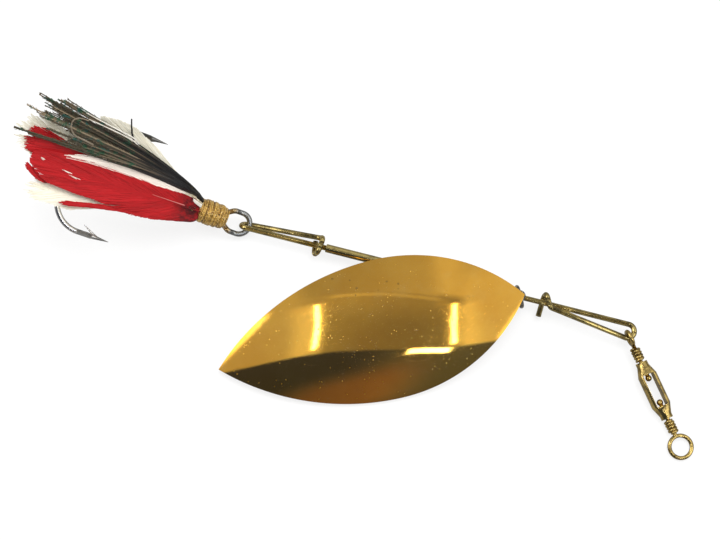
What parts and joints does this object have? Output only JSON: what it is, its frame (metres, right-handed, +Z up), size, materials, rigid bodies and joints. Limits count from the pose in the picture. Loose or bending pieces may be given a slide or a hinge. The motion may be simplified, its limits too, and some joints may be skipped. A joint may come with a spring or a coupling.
{
  "type": "inline spinner",
  "caption": "Inline spinner with a cupped leaf blade that turns on a bent wire shaft, a box swivel at the line end and a feather-dressed treble hook.",
  "frame": {"origin": "centre of the line eye's hole", "axes": "+X along the shaft towards the line end, +Y to the left of the shaft, +Z up from the surface the spinner lies on"},
  "size_m": [0.1575, 0.0448, 0.0342],
  "materials": {
    "aged_brass": "satin",
    "polished_gold": "polished",
    "bright_brass": "polished",
    "nickel": "polished",
    "solder": "satin",
    "hook_steel": "satin",
    "gold_thread": "lacquered",
    "red_feather": "glossy",
    "white_feather": "soft",
    "herl": "iridescent",
    "quill": "translucent"
  },
  "bodies": {
    "shaft": {"shaft_wire": "aged_brass"},
    "sleeve": {"bearing_sleeve": "aged_brass"},
    "bead": {"bearing_bead": "bright_brass"},
    "blade": {"blade": "polished_gold", "hanger_ring": "nickel", "hanger_solder": "solder"},
    "link_eye": {"link_eye": "bright_brass", "link_eye_wrap": "bright_brass"},
    "cage": {"swivel_cage": "bright_brass"},
    "line_eye": {"line_eye": "bright_brass", "line_eye_wrap": "bright_brass"},
    "treble": {"double_hook": "hook_steel", "third_hook": "hook_steel", "thread_core": "gold_thread", "thread_winding": "gold_thread", "red_feather_top": "red_feather", "red_feather_side": "red_feather", "white_feather_rear": "white_feather", "white_feather_lower": "white_feather", "white_feather_upper": "white_feather", "herl_fan_outer": "herl", "herl_fan_inner": "herl", "pale_quills": "quill"}
  },
  "joints": [
    {"name": "sleeve_spin", "type": "hinge", "parent": "shaft", "child": "sleeve", "pos_m": [-0.06753, 0.02346, 0.00246], "axis": [1, 0, 0], "continuous": true},
    {"name": "bead_spin", "type": "hinge", "parent": "shaft", "child": "bead", "pos_m": [-0.04637, 0.02346, 0.00246], "axis": [1, 0, 0], "continuous": true},
    {"name": "blade_flare", "type": "hinge", "parent": "bead", "child": "blade", "pos_m": [-0.04224, 0.02346, 0.00246], "axis": [-0.4709, 0.8712, 0.139], "range_deg": [0, 40]},
    {"name": "swivel_swing", "type": "hinge", "parent": "shaft", "child": "link_eye", "pos_m": [-0.01719, 0.02161, 0.00246], "axis": [0, 0, 1], "range_deg": [-25, 120]},
    {"name": "cage_spin", "type": "hinge", "parent": "link_eye", "child": "cage", "pos_m": [-0.01201, 0.0151, 0.00172], "axis": [0.6201, -0.7795, -0.0889], "continuous": true},
    {"name": "line_eye_spin", "type": "hinge", "parent": "cage", "child": "line_eye", "pos_m": [-0.00482, 0.00606, 0.00069], "axis": [0.6201, -0.7795, -0.0889], "continuous": true},
    {"name": "treble_swing", "type": "hinge", "parent": "shaft", "child": "treble", "pos_m": [-0.10747, 0.02426, 0.00214], "axis": [0.3581, -0.342, 0.8688], "range_deg": [-50, 50]}
  ]
}
